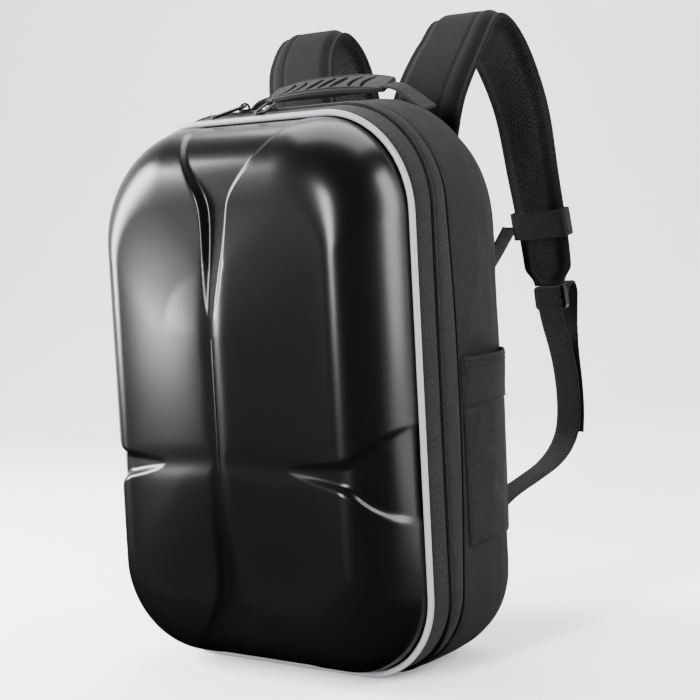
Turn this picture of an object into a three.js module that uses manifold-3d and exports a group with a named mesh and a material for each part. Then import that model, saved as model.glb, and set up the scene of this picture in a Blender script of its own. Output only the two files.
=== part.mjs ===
// Hard shell backpack: a moulded glossy front shell, piping, a coil zip round the gusset, a fabric
// rear body with side pockets, a moulded carry handle and padded shoulder straps.
// Millimetres, +Z up, the shell faces -Y, and the origin is on the flat base.
import * as THREE from "three";
import Module from "manifold-3d";
import { mergeVertices } from "three/addons/utils/BufferGeometryUtils.js";

const wasm = await Module();
wasm.setup();

// Distance from the piping's plane back to the point of the base that is the origin.
const BASE_POINT = 60;
const CLEARANCE = 0.3;

// The piping's loop, seen from the front.
const HALF_WIDTH = 149;
const LOOP_TOP = 457;
const LOOP_BOTTOM = 4;
const TOP_CORNER = 82;
const BOTTOM_CORNER = 68;
const PIPING_RADIUS = 2.6;

// The moulded shell.
const SHELL_WALL = 2.5;
const SHELL_SEAT = 2.9;
const SHELL_EDGE_DEPTH = 64;
const SHELL_CROWN = 10;
const SHELL_SIDE_ROUND = 38;
const SHELL_END_ROUND = 64;
const SHELL_CORNER_LOSS = 30;
const SHELL_RING_STEPS = [1.9, 1.5, 1.15, 0.95, 0.7, 0.45, 0.2, 0];

// The four tapered grooves pressed into the shell.
const WAIST_HEIGHT = 171;
const END_GROOVE = { rim: 41, bend: 12, bendAt: 60, apexAt: 180, depth: 7, rimDepth: 2 };
const SIDE_GROOVE = { rim: 39, bend: 11, bendAt: 24, apexAt: 92, depth: 7, rimDepth: 4 };
const GROOVE_SLOPE = 7;

// The zip's two tapes and its coil.
const TAPE_WALL = 2.5;
const TAPE_FRONT = 3.2;
const COIL_LINE = 25.5;
const COIL_SIZE = 1.6;
const TAPE_RISE = 7;
const TAPE_SPREAD = 2;
const SEAM_ENDS = 36;
const SEAM_BOW = 12;
const SEAM_GAP = 0.8;

// The fabric body, from the seam back.
const BODY_WALL = 3;
const BODY_DEPTH = 134;
const BODY_BULGE = 6;
const BODY_RISE = 13;
// Columns: share of depth, share of bulge, share of rise, rear rounding inward, corner growth.
const BODY_SECTIONS = [
  { depth: 0.45, bulge: 0.75, rise: 0.75, inward: 0, corner: 6 },
  { depth: 0.58, bulge: 1, rise: 1, inward: 0, corner: 12 },
  { depth: 0.72, bulge: 0.8, rise: 0.9, inward: 0, corner: 16 },
  { depth: 0.84, bulge: 0.5, rise: 0.6, inward: 2, corner: 18 },
  { depth: 0.94, bulge: 0, rise: 0, inward: 8, corner: 16 },
  { depth: 1, bulge: 0, rise: 0, inward: 23, corner: 8 },
];

// The side pockets.
const POCKET_FRONT = 53;
const POCKET_BACK = 112;
const POCKET_LOW = 104;
const POCKET_HIGH = 257;
const POCKET_BULGE = 10;
const POCKET_WALL = 2;
const POCKET_HEM = 40;
const POCKET_HEM_STEP = 0.8;

// The pad on the back.
const PAD_HALF_WIDTH = 104;
const PAD_LOW = 118;
const PAD_HIGH = 388;
const PAD_THICKNESS = 11;
const PAD_CORNER = 36;

// The padded shoulder straps, the right one; the left one mirrors it. w is the width there.
const STRAP_THICKNESS = 11;
const STRAP_ROOT_LEVEL = 400;
const STRAP_ROUTE = [
  { x: 58, y: 5.9, z: 0, w: 76 },
  { x: 63, y: 6.4, z: 38, w: 75 },
  { x: 71, y: 13, z: 76, w: 73 },
  { x: 83, y: 30, z: 115, w: 71 },
  { x: 85, y: 56, z: 139, w: 68 },
  { x: 87, y: 92, z: 119, w: 63 },
  { x: 91, y: 123, z: 65, w: 57 },
  { x: 94, y: 136, z: 0, w: 53 },
  { x: 97, y: 146, z: -60, w: 50 },
  { x: 99, y: 149, z: -100, w: 47 },
];

// The ladder lock and the webbing below each strap.
const WEB_WIDTH = 25;
const WEB_THICKNESS = 1.8;
const LOCK = { width: 33, height: 22, thickness: 7 };
const LOCK_SLOT = 4;
const LOCK_BAR = 4;
const WEB_ROUTE = [
  [99.3, 143.9, -102],
  [99.8, 144.6, -112],
  [100.4, 145.6, -122],
  [101.5, 149.5, -138],
  [103, 156, -158],
  [104.3, 161, -180],
  [105, 163.5, -208],
  [105, 160, -233],
  [105, 146, -250],
  [105, 122, -262],
  [105, 88, -270],
  [105, 46, -279],
  [105, 18, -291],
  [105, 5, -306],
  [105, 1.8, -322],
];
const TAIL_ROUTE = [
  [100.5, 155.2, -114],
  [100.5, 162, -101],
  [101, 169, -98],
  [101.5, 173, -107],
  [102, 171, -122],
  [103, 168, -140],
  [104, 167, -162],
  [105, 169, -190],
  [105.5, 169.5, -214],
  [105.5, 167, -238],
];

// The chest strap.
const CHEST_STEP = 8;
const CHEST_HEIGHT = 25;
const CHEST_SAG = 52;
const CHEST_DROP_FORWARD = 16;
const CHEST_BUCKLE = { width: 46, height: 31, thickness: 11 };

// The moulded handle on the top.
const GRIP_HALF_LENGTH = 64;
const GRIP_WIDTH = 29;
const GRIP_THICKNESS = 4;
const GRIP_TILT = 28;
const GRIP_ARCH = 5;
const GRIP_SET = { y: 95, z: 484.5 };
const GRIP_SLOT_LENGTH = 17;
const GRIP_SLOT_WIDTH = 4.6;
const GRIP_SLOT_PITCH = 13;
const GRIP_SLOTS = [-3, -2, -1, 0, 1, 2, 3];
const HANDLE_END = { x: 101, y: 99 };

// The zip's sliders and their wire pulls. heading is across the top, in degrees from -Y.
const SLIDER = { length: 8, width: 8, height: 1.8 };
const ARCH_INNER = 4.2;
const ARCH_WALL = 1.5;
const PULL = { length: 34, width: 9.5, wire: 1.8, droop: 17 };
const PULL_RIDE = 4.35;
const PULLS = [
  { name: "left", x: -36, heading: -24 },
  { name: "right", x: -7, heading: 19 },
];

const colour = (name) => new THREE.Color(name);
const finish = (hex, roughness, metalness = 0) =>
  new THREE.MeshStandardMaterial({ color: colour(hex), roughness, metalness });
const SHELL_GLOSS = finish("#1b1b1d", 0.22);
const PIPING_GREY = finish("#b9b9be", 0.45);
const TAPE_BLACK = finish("#26262a", 0.9);
const BODY_BLACK = finish("#222225", 0.92);
const WEB_BLACK = finish("#151517", 0.85);
const MESH_BLACK = finish("#18181a", 0.95);
const MOULDED_BLACK = finish("#333338", 0.6);
const METAL_BLACK = finish("#17171a", 0.25, 0.8);

const bag = new THREE.Group();
bag.position.y = -BASE_POINT;

function addPiece(name, geometry, material) {
  const mesh = new THREE.Mesh(geometry, material);
  mesh.name = name;
  bag.add(mesh);
  return mesh;
}

// Joins rows of points into a closed body: a ring of rows, or a run of rows with its ends filled.
function loft(rows, ringOfRows = false) {
  const count = rows[0].length;
  const triangles = [];
  const quad = (a, b, c, d) => triangles.push([a, b, c], [a, c, d]);
  const strips = ringOfRows ? rows.length : rows.length - 1;
  for (let r = 0; r < strips; r += 1) {
    const here = r * count;
    const next = ((r + 1) % rows.length) * count;
    for (let k = 0; k < count; k += 1) {
      const after = (k + 1) % count;
      quad(here + k, here + after, next + after, next + k);
    }
  }
  const fill = (start, flip) => {
    for (let k = 0; k < count / 2; k += 1) {
      const mirrored = (count - k) % count;
      const corners = [k, k + 1, count - k - 1, mirrored].map((c) => start + c);
      const face = flip ? corners : corners.reverse();
      triangles.push([face[0], face[1], face[2]], [face[0], face[2], face[3]]);
    }
  };
  if (!ringOfRows) {
    fill(0, false);
    fill((rows.length - 1) * count, true);
  }
  const points = rows.flat();
  const real = triangles.filter(([a, b, c]) => a !== b && b !== c && a !== c);
  return solidGeometry(points, real);
}

// A geometry of points and triangles whose faces point outwards, whichever way they were listed.
function solidGeometry(points, triangles) {
  const volume = triangles.reduce((sum, [a, b, c]) => {
    const [p, q, r] = [points[a], points[b], points[c]];
    return sum + p.dot(q.clone().cross(r));
  }, 0);
  const facing = volume < 0 ? triangles.map(([a, b, c]) => [a, c, b]) : triangles;
  const geometry = new THREE.BufferGeometry();
  geometry.setAttribute("position", new THREE.Float32BufferAttribute(points.flatMap((p) => p.toArray()), 3));
  geometry.setIndex(facing.flat());
  return geometry;
}

function toSolid(geometry) {
  const bare = geometry.clone();
  bare.deleteAttribute("normal");
  bare.deleteAttribute("uv");
  const merged = mergeVertices(bare, 1e-4);
  return new wasm.Manifold(
    new wasm.Mesh({
      numProp: 3,
      vertProperties: new Float32Array(merged.attributes.position.array),
      triVerts: new Uint32Array(merged.index.array),
    }),
  );
}

function fromSolid(solid) {
  const mesh = solid.getMesh();
  const geometry = new THREE.BufferGeometry();
  geometry.setAttribute("position", new THREE.Float32BufferAttribute(mesh.vertProperties, 3));
  geometry.setIndex(Array.from(mesh.triVerts));
  return geometry;
}

// Half of a rounded outline, from the bottom's middle up the right side to the top's middle.
const BOTTOM_SHARES = [0, 0.3, 0.6, 0.85];
const SIDE_SHARES = [0, 0.15, 0.22, 0.28, 0.33, 0.38, 0.45, 0.6, 0.8];
const TOP_SHARES = [1, 0.8, 0.6, 0.4, 0.2, 0];
const CORNER_STEPS = 6;

function outline({ halfWidth, top, bottom, topCorner, bottomCorner }) {
  const half = [];
  BOTTOM_SHARES.forEach((s) => half.push([s * (halfWidth - bottomCorner), bottom]));
  for (let i = 0; i < CORNER_STEPS; i += 1) {
    const turn = (i / CORNER_STEPS - 1) * (Math.PI / 2);
    half.push([
      halfWidth - bottomCorner + bottomCorner * Math.cos(turn),
      bottom + bottomCorner + bottomCorner * Math.sin(turn),
    ]);
  }
  const sideFrom = bottom + bottomCorner;
  const sideTo = top - topCorner;
  SIDE_SHARES.forEach((s) => half.push([halfWidth, sideFrom + s * (sideTo - sideFrom)]));
  for (let i = 0; i < CORNER_STEPS; i += 1) {
    const turn = (i / CORNER_STEPS) * (Math.PI / 2);
    half.push([
      halfWidth - topCorner + topCorner * Math.cos(turn),
      top - topCorner + topCorner * Math.sin(turn),
    ]);
  }
  TOP_SHARES.forEach((s) => half.push([s * (halfWidth - topCorner), top]));
  const mirrored = half.slice(1, -1).reverse().map(([x, z]) => [-x, z]);
  return [...half, ...mirrored];
}

const LOOP = {
  halfWidth: HALF_WIDTH,
  top: LOOP_TOP,
  bottom: LOOP_BOTTOM,
  topCorner: TOP_CORNER,
  bottomCorner: BOTTOM_CORNER,
};

// An outline moved in at the sides and at the ends, with its corners made tighter.
function inset(base, side, end, cornerLoss) {
  const halfWidth = base.halfWidth - side;
  const limit = 0.92 * halfWidth;
  return {
    halfWidth,
    top: base.top - end,
    bottom: base.bottom + end,
    topCorner: Math.min(base.topCorner - cornerLoss, limit),
    bottomCorner: Math.min(base.bottomCorner - cornerLoss, limit),
  };
}

const smooth = (t) => {
  const c = Math.min(1, Math.max(0, t));
  return c * c * (3 - 2 * c);
};

// How deep a tapered groove is at a distance from its rim and to the side of its middle line.
function grooveDepth(groove, along, across) {
  if (along > groove.apexAt) return 0;
  const beyond = (along - groove.bendAt) / (groove.apexAt - groove.bendAt);
  const before = Math.max(0, along) / groove.bendAt;
  const half = beyond > 0 ? groove.bend * (1 - beyond) : groove.rim + (groove.bend - groove.rim) * before;
  const deep =
    beyond > 0
      ? groove.depth * (1 - smooth(beyond))
      : groove.rimDepth + (groove.depth - groove.rimDepth) * smooth(before);
  return deep * (1 - smooth((Math.abs(across) - half) / GROOVE_SLOPE));
}

// One ring of the shell. step runs from 0 at the rim to 1 where the face begins and 2 at its middle.
function shellRing(step, wall) {
  const rim = inset(LOOP, SHELL_SEAT + wall, SHELL_SEAT + wall, 1 + wall);
  const edge = Math.min(step, 1);
  const face = Math.max(step - 1, 0);
  const faceRun = (HALF_WIDTH - SHELL_SIDE_ROUND) * face;
  const shape = inset(
    rim,
    SHELL_SIDE_ROUND * edge + faceRun,
    SHELL_END_ROUND * edge + faceRun,
    SHELL_CORNER_LOSS * edge,
  );
  const edgeDepth = (SHELL_EDGE_DEPTH - wall) * Math.sqrt(1 - (1 - edge) ** 2);
  const depth = edgeDepth + SHELL_CROWN * (1 - (1 - face) ** 2);
  const sideways = Math.sqrt(1 - edge ** 2);
  return outline(shape).map(([x, z]) => {
    const ends = Math.max(
      grooveDepth(END_GROOVE, LOOP.top - z, x),
      grooveDepth(END_GROOVE, z - LOOP.bottom, x),
    );
    const sides = grooveDepth(SIDE_GROOVE, HALF_WIDTH - Math.abs(x), z - WAIST_HEIGHT);
    const middle = (LOOP.top + LOOP.bottom) / 2;
    return new THREE.Vector3(
      x - Math.sign(x) * sides * sideways,
      -depth + Math.max(ends, sides) * edge,
      z - Math.sign(z - middle) * ends * sideways,
    );
  });
}

function shellGeometry() {
  const outer = SHELL_RING_STEPS.map((s) => shellRing(s, 0));
  const inner = SHELL_RING_STEPS.map((s) => shellRing(s, SHELL_WALL));
  return loft([...outer, ...inner.reverse()]);
}

const ringAt = (shape, y) => outline(shape).map(([x, z]) => new THREE.Vector3(x, y, z));

// A round bead along the loop, or along part of it.
function beadGeometry(shape, y, radius, sides, from, to) {
  const path = outline(shape);
  const centres = path.map(([x, z]) => new THREE.Vector3(x, y, z));
  const kept = from === undefined ? centres : centres.slice(from, to);
  const closed = from === undefined;
  const middle = new THREE.Vector3(0, y, (shape.top + shape.bottom) / 2);
  const rows = kept.map((p, k) => {
    const before = kept[closed ? (k + kept.length - 1) % kept.length : Math.max(0, k - 1)];
    const after = kept[closed ? (k + 1) % kept.length : Math.min(kept.length - 1, k + 1)];
    const tangent = after.clone().sub(before).normalize();
    const out = new THREE.Vector3(0, 1, 0).cross(tangent);
    if (out.dot(p.clone().sub(middle)) < 0) out.negate();
    return Array.from({ length: sides }, (_, j) => {
      const turn = ((j + 0.5) / sides) * 2 * Math.PI;
      return p
        .clone()
        .addScaledVector(out, radius * Math.cos(turn))
        .add(new THREE.Vector3(0, radius * Math.sin(turn), 0));
    });
  });
  return loft(rows, closed);
}

// The gusset's outline at a depth behind the piping, up to the seam.
function gussetShape(y) {
  const share = y / COIL_LINE;
  return {
    halfWidth: HALF_WIDTH + TAPE_SPREAD * share,
    top: LOOP_TOP + TAPE_RISE * share,
    bottom: LOOP_BOTTOM - 3 * Math.min(1, share),
    topCorner: TOP_CORNER + TAPE_SPREAD * share,
    bottomCorner: BOTTOM_CORNER + share,
  };
}

// The seam between the tape and the body bows back at half height.
const seamDepth = (z) => SEAM_ENDS + SEAM_BOW * Math.sin(Math.PI * Math.min(1, Math.max(0, z / LOOP_TOP)));

function bandGeometry(yFront, yBack, wall) {
  const ring = (yOf, thickness) => {
    const flat = outline(inset(gussetShape(COIL_LINE), thickness, thickness, thickness));
    return flat.map(([, z], k) => {
      const y = yOf(z);
      const [px, pz] = outline(inset(gussetShape(y), thickness, thickness, thickness))[k];
      return new THREE.Vector3(px, y, pz);
    });
  };
  return loft([ring(yFront, 0), ring(yBack, 0), ring(yBack, wall), ring(yFront, wall)], true);
}

// The body's outline at its own sections; the first ring follows the seam.
function bodyShape({ bulge, rise, inward, corner }) {
  return {
    halfWidth: HALF_WIDTH + BODY_BULGE * bulge - inward + 0.5,
    top: LOOP_TOP + BODY_RISE * rise - inward,
    bottom: inward,
    topCorner: TOP_CORNER + corner,
    bottomCorner: BOTTOM_CORNER + corner / 2,
  };
}

const SEAM_SECTION = { bulge: 0.6, rise: 0.65, inward: 0, corner: 3 };

function bodyRings(wall) {
  const shrink = (shape) => inset(shape, wall, wall, wall);
  const seamRing = outline(shrink(bodyShape(SEAM_SECTION))).map(
    ([x, z]) => new THREE.Vector3(x, seamDepth(z) + SEAM_GAP, z),
  );
  const back = (share) => share * BODY_DEPTH - (share === 1 ? wall : (wall * (share - 0.5)) / 0.5);
  const others = BODY_SECTIONS.map((s) =>
    ringAt(shrink(bodyShape(s)), wall ? Math.max(back(s.depth), 0.45 * BODY_DEPTH) : s.depth * BODY_DEPTH),
  );
  return [seamRing, ...others];
}

function bodyGeometry() {
  return loft([...bodyRings(0).reverse(), ...bodyRings(BODY_WALL)]);
}

// Half width of the body at a depth, on the straight stretch of its sides.
function bodySide(y) {
  const sections = BODY_SECTIONS.map((s) => [s.depth * BODY_DEPTH, bodyShape(s).halfWidth]);
  const stops = [[seamDepth(POCKET_HIGH), bodyShape(SEAM_SECTION).halfWidth], ...sections];
  const i = Math.min(stops.length - 2, Math.max(0, stops.findIndex(([d]) => d > y) - 1));
  const [[y0, w0], [y1, w1]] = [stops[i], stops[i + 1]];
  return w0 + ((w1 - w0) * (y - y0)) / (y1 - y0);
}

const POCKET_COLUMNS = 8;
const POCKET_LEVELS = [0, 0.12, 0.35, 0.6, 0.73, 0.74, 1];

function pocketGeometry(side) {
  const hemFrom = 1 - POCKET_HEM / (POCKET_HIGH - POCKET_LOW);
  const rows = POCKET_LEVELS.map((level) => {
    const z = POCKET_LOW + level * (POCKET_HIGH - POCKET_LOW);
    const step = level > hemFrom ? POCKET_HEM_STEP : 0;
    const place = (k, out) => {
      const share = k / POCKET_COLUMNS;
      const y = POCKET_FRONT + share * (POCKET_BACK - POCKET_FRONT);
      const bulge = POCKET_BULGE * Math.sin(Math.PI * share) * level ** 0.7;
      return new THREE.Vector3(side * (bodySide(y) + 2 * CLEARANCE + bulge + out), y, z);
    };
    const outer = Array.from({ length: POCKET_COLUMNS + 1 }, (_, k) => place(k, POCKET_WALL + step));
    const inner = Array.from({ length: POCKET_COLUMNS + 1 }, (_, k) => place(k, 0)).reverse();
    return [...outer, ...inner];
  });
  return loft(rows);
}

// A flat section carried along a route, its width lying along widthOf(tangent).
const SECTION_SHOULDER = 0.35;
function ribbonGeometry(curve, steps, widthAt, thickness, widthOf) {
  const rows = [];
  for (let i = 0; i <= steps; i += 1) {
    const t = i / steps;
    const centre = curve.getPointAt(t);
    const tangent = curve.getTangentAt(t);
    const wide = widthOf(tangent);
    const normal = tangent.clone().cross(wide).normalize();
    const [w, h] = [widthAt(t) / 2, thickness / 2];
    const bevel = Math.min(SECTION_SHOULDER * thickness, w / 2);
    const corners = [
      [0, -h],
      [w - bevel, -h],
      [w, 0],
      [w - bevel, h],
      [0, h],
      [-w + bevel, h],
      [-w, 0],
      [-w + bevel, -h],
    ];
    rows.push(
      corners.map(([a, b]) => centre.clone().addScaledVector(wide, a).addScaledVector(normal, b)),
    );
  }
  return loft(rows);
}

const alongX = (tangent) => {
  const x = new THREE.Vector3(1, 0, 0);
  return x.addScaledVector(tangent, -x.dot(tangent)).normalize();
};

const onBack = (side, x, y, z) => new THREE.Vector3(side * x, BODY_DEPTH + y, STRAP_ROOT_LEVEL + z);

function strapCurve(side) {
  return new THREE.CatmullRomCurve3(STRAP_ROUTE.map((p) => onBack(side, p.x, p.y, p.z)));
}

function strapWidth(t) {
  const at = t * (STRAP_ROUTE.length - 1);
  const i = Math.min(STRAP_ROUTE.length - 2, Math.floor(at));
  return STRAP_ROUTE[i].w + (STRAP_ROUTE[i + 1].w - STRAP_ROUTE[i].w) * (at - i);
}

const STRAP_STEPS = 26;
const WEB_STEPS = 30;
const TAIL_STEPS = 24;

function webGeometry(side, route, steps) {
  const curve = new THREE.CatmullRomCurve3(route.map(([x, y, z]) => onBack(side, x, y, z)));
  return ribbonGeometry(curve, steps, () => WEB_WIDTH, WEB_THICKNESS, alongX);
}

const boxSolid = (w, d, h) => toSolid(new THREE.BoxGeometry(w, d, h));

// The ladder lock hangs at the padded strap's end, with two slots for the webbing.
function lockMesh(side) {
  const blank = boxSolid(LOCK.width, LOCK.thickness, LOCK.height);
  const slot = boxSolid(WEB_WIDTH + 1, 2 * LOCK.thickness, LOCK_SLOT);
  const offset = (LOCK_SLOT + LOCK_BAR) / 2;
  const cut = blank.subtract(slot.translate([0, 0, offset])).subtract(slot.translate([0, 0, -offset]));
  const mesh = addPiece(side < 0 ? "ladder_lock_left" : "ladder_lock_right", fromSolid(cut), MOULDED_BLACK);
  const curve = strapCurve(side);
  const end = curve.getPointAt(1);
  const down = curve.getTangentAt(1);
  mesh.position.copy(end).addScaledVector(down, LOCK.height / 2 + CLEARANCE);
  mesh.quaternion.setFromUnitVectors(new THREE.Vector3(0, 0, -1), down);
}

// Where the chest strap rides on a shoulder strap.
const CHEST_AT = CHEST_STEP / (STRAP_ROUTE.length - 1);
const CHEST_LOOP_GAP = 1.2;
const CHEST_LOOP_WALL = 1.8;

function chestFrame(side) {
  const curve = strapCurve(side);
  const share = CHEST_AT - 0.02;
  return { centre: curve.getPointAt(share), tangent: curve.getTangentAt(share), width: strapWidth(share) };
}

function chestLoopMesh(side) {
  const { centre, tangent, width } = chestFrame(side);
  const clear = [width + 2 * CHEST_LOOP_GAP, STRAP_THICKNESS + 2 * CHEST_LOOP_GAP];
  const outer = boxSolid(clear[0] + 2 * CHEST_LOOP_WALL, clear[1] + 2 * CHEST_LOOP_WALL, CHEST_HEIGHT);
  const hollow = boxSolid(clear[0], clear[1], 2 * CHEST_HEIGHT);
  const name = side < 0 ? "chest_loop_left" : "chest_loop_right";
  const mesh = addPiece(name, fromSolid(outer.subtract(hollow)), WEB_BLACK);
  mesh.position.copy(centre);
  mesh.quaternion.setFromUnitVectors(new THREE.Vector3(0, 0, -1), tangent);
}

// The slack chest webbing hangs from the two loops, its flat turned up, with the buckle at the bottom.
const CHEST_CURVE = 1.25;
const CHEST_LEVEL_END = 5;

function chestPoint(side, share) {
  const { centre, width } = chestFrame(side);
  const reach = Math.abs(centre.x) - width / 2 - CHEST_LOOP_GAP - CHEST_LOOP_WALL - 3 * CLEARANCE;
  const level = CHEST_BUCKLE.width / 2 + 7;
  const x = share * reach;
  const climb = Math.min(1, Math.max(0, x - level) / (reach - CHEST_LEVEL_END - level));
  const fall = 1 - climb ** CHEST_CURVE;
  return new THREE.Vector3(
    side * x,
    centre.y - CHEST_DROP_FORWARD * fall,
    centre.z - 3 - CHEST_SAG * fall,
  );
}

function chestWebGeometry(side) {
  const reach = Math.abs(chestPoint(side, 1).x);
  const start = (CHEST_BUCKLE.width / 2 + 3 * CLEARANCE) / reach;
  const shares = [start, start + 0.04, 0.6, 0.75, 0.9, 0.96, 1];
  const curve = new THREE.CatmullRomCurve3(shares.map((s) => chestPoint(side, s)));
  const across = (tangent) => {
    const y = new THREE.Vector3(0, 1, 0);
    return y.addScaledVector(tangent, -y.dot(tangent)).normalize();
  };
  return ribbonGeometry(curve, 9, () => CHEST_HEIGHT, WEB_THICKNESS, across);
}

function chestBuckleMesh() {
  const { width, height, thickness } = CHEST_BUCKLE;
  const shape = new THREE.Shape();
  const [w, h] = [width / 2, height / 2];
  shape.moveTo(-w, -h + 5);
  shape.lineTo(-w + 5, -h);
  shape.lineTo(w - 5, -h);
  shape.lineTo(w, -h + 5);
  shape.lineTo(w, h - 5);
  shape.lineTo(w - 5, h);
  shape.lineTo(-w + 5, h);
  shape.lineTo(-w, h - 5);
  const geometry = new THREE.ExtrudeGeometry(shape, { depth: thickness, bevelEnabled: false, steps: 1 });
  geometry.translate(0, 0, -thickness / 2);
  const mesh = addPiece("chest_buckle", geometry, MOULDED_BLACK);
  mesh.position.copy(chestPoint(1, 0));
}

// A slanted slot in the grip, its ends round.
function slotPath(cx, lean) {
  const points = [];
  for (let j = 0; j < 10; j += 1) {
    const turn = (j / 10) * 2 * Math.PI;
    const along = (GRIP_SLOT_LENGTH / 2) * Math.sin(turn);
    const across = (GRIP_SLOT_WIDTH / 2) * Math.cos(turn);
    points.push(new THREE.Vector2(cx + across + lean * along, along));
  }
  return new THREE.Path(points.reverse());
}

function gripGeometry() {
  const [l, w] = [GRIP_HALF_LENGTH, GRIP_WIDTH / 2];
  const lowSide = Array.from({ length: 13 }, (_, k) => {
    const share = k / 6 - 1;
    return new THREE.Vector2(l * share, -w * (1 - 0.28 * share ** 4));
  });
  const highSide = lowSide.map((p) => new THREE.Vector2(p.x, -p.y)).reverse();
  const shape = new THREE.Shape([...lowSide, ...highSide]);
  GRIP_SLOTS.forEach((k) => shape.holes.push(slotPath(k * GRIP_SLOT_PITCH, 0.45)));
  const geometry = new THREE.ExtrudeGeometry(shape, { depth: GRIP_THICKNESS, bevelEnabled: false, steps: 1 });
  const position = geometry.attributes.position;
  for (let i = 0; i < position.count; i += 1) {
    const share = position.getX(i) / l;
    position.setZ(i, position.getZ(i) - GRIP_ARCH * share ** 2);
  }
  return geometry;
}

function gripMesh() {
  const mesh = addPiece("handle_grip", gripGeometry(), MOULDED_BLACK);
  mesh.rotation.x = THREE.MathUtils.degToRad(GRIP_TILT);
  mesh.position.set(0, GRIP_SET.y, GRIP_SET.z);
}

// The webbing from the grip's end down to the body's shoulder.
function handleWebGeometry(side) {
  const tilt = THREE.MathUtils.degToRad(GRIP_TILT);
  const level = GRIP_SET.z - GRIP_ARCH * Math.cos(tilt);
  const start = GRIP_HALF_LENGTH + 4 * CLEARANCE;
  const shape = bodyShape(BODY_SECTIONS[2]);
  const fromCentre = HANDLE_END.x - (shape.halfWidth - shape.topCorner);
  const seat = shape.top - shape.topCorner + Math.sqrt(shape.topCorner ** 2 - fromCentre ** 2);
  const points = [
    [start, GRIP_SET.y, level + 1.5],
    [start + 10, GRIP_SET.y + 1, level - 1],
    [start + 22, GRIP_SET.y + 2, level - 9],
    [HANDLE_END.x, HANDLE_END.y, seat + 4],
  ].map(([x, y, z]) => new THREE.Vector3(side * x, y, z));
  const wide = new THREE.Vector3(0, Math.cos(tilt / 2), Math.sin(tilt / 2));
  const across = (tangent) => wide.clone().addScaledVector(tangent, -wide.dot(tangent)).normalize();
  const width = (t) => 16 + 4 * t;
  return ribbonGeometry(new THREE.CatmullRomCurve3(points), 8, width, WEB_THICKNESS + 0.6, across);
}

// The slider's base with its arch, and the wire pull that passes under the arch.
function sliderGeometry() {
  const base = boxSolid(SLIDER.length, SLIDER.width, SLIDER.height).translate([0, 0, SLIDER.height / 2]);
  const arch = new THREE.Shape();
  const outer = ARCH_INNER + ARCH_WALL;
  arch.absarc(0, 0, outer, 0, Math.PI, false);
  arch.absarc(0, 0, ARCH_INNER, Math.PI, 0, true);
  const bow = new THREE.ExtrudeGeometry(arch, { depth: 2.4, bevelEnabled: false, steps: 1, curveSegments: 6 });
  bow.translate(0, 0, -1.2);
  bow.rotateX(Math.PI / 2);
  bow.scale(0.86, 1, 1);
  bow.translate(0, 0, SLIDER.height - 0.2);
  return fromSolid(base.add(toSolid(bow)));
}

function pullGeometry() {
  const stadium = (length, width) => {
    const r = width / 2;
    const points = [];
    for (let j = 0; j <= 5; j += 1) {
      const turn = Math.PI / 2 + (j / 5) * Math.PI;
      points.push(new THREE.Vector2(r + r * Math.cos(turn), r * Math.sin(turn)));
    }
    for (let j = 0; j <= 5; j += 1) {
      const turn = -Math.PI / 2 + (j / 5) * Math.PI;
      points.push(new THREE.Vector2(length - r + r * Math.cos(turn), r * Math.sin(turn)));
    }
    return points;
  };
  const { length, width, wire } = PULL;
  const shape = new THREE.Shape(stadium(length, width));
  const hole = stadium(length - 2 * wire, width - 2 * wire).map((p) => new THREE.Vector2(p.x + wire, p.y));
  shape.holes.push(new THREE.Path(hole));
  const geometry = new THREE.ExtrudeGeometry(shape, { depth: wire, bevelEnabled: false, steps: 1 });
  geometry.translate(-wire / 2, 0, -wire / 2);
  return geometry;
}

function zipEnd({ name, x, heading }) {
  const station = new THREE.Group();
  const level = gussetShape(COIL_LINE).top + COIL_SIZE + CLEARANCE;
  station.position.set(x, COIL_LINE, level);
  station.rotation.z = THREE.MathUtils.degToRad(heading - 90);
  const slider = new THREE.Mesh(sliderGeometry(), METAL_BLACK);
  slider.name = `zip_slider_${name}`;
  const pull = new THREE.Mesh(pullGeometry(), METAL_BLACK);
  pull.name = `zip_pull_${name}`;
  pull.position.z = PULL_RIDE;
  pull.rotation.y = THREE.MathUtils.degToRad(PULL.droop);
  station.add(slider, pull);
  bag.add(station);
}

function padGeometry() {
  const face = {
    halfWidth: PAD_HALF_WIDTH,
    top: PAD_HIGH,
    bottom: PAD_LOW,
    topCorner: PAD_CORNER,
    bottomCorner: PAD_CORNER,
  };
  const from = BODY_DEPTH + CLEARANCE;
  return loft([
    ringAt(face, from),
    ringAt(face, from + 0.5 * PAD_THICKNESS),
    ringAt(inset(face, 4, 4, 3), from + PAD_THICKNESS),
  ]);
}

addPiece("hard_shell", shellGeometry(), SHELL_GLOSS);
addPiece("piping", beadGeometry(LOOP, 0, PIPING_RADIUS, 6), PIPING_GREY);
const coilFront = () => COIL_LINE - COIL_SIZE - 0.2;
const coilBack = () => COIL_LINE + COIL_SIZE + 0.2;
addPiece("zip_tape_front", bandGeometry(() => TAPE_FRONT, coilFront, TAPE_WALL), TAPE_BLACK);
addPiece("zip_tape_rear", bandGeometry(coilBack, seamDepth, TAPE_WALL), TAPE_BLACK);
const halfCount = outline(LOOP).length / 2;
const coilShape = gussetShape(COIL_LINE);
const COIL_START = 4;
const coilEnd = 2 * halfCount - COIL_START + 1;
addPiece("zip_coil", beadGeometry(coilShape, COIL_LINE, COIL_SIZE, 4, COIL_START, coilEnd), TAPE_BLACK);
addPiece("rear_body", bodyGeometry(), BODY_BLACK);
addPiece("back_pad", padGeometry(), MESH_BLACK);
PULLS.forEach(zipEnd);
gripMesh();
chestBuckleMesh();
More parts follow.
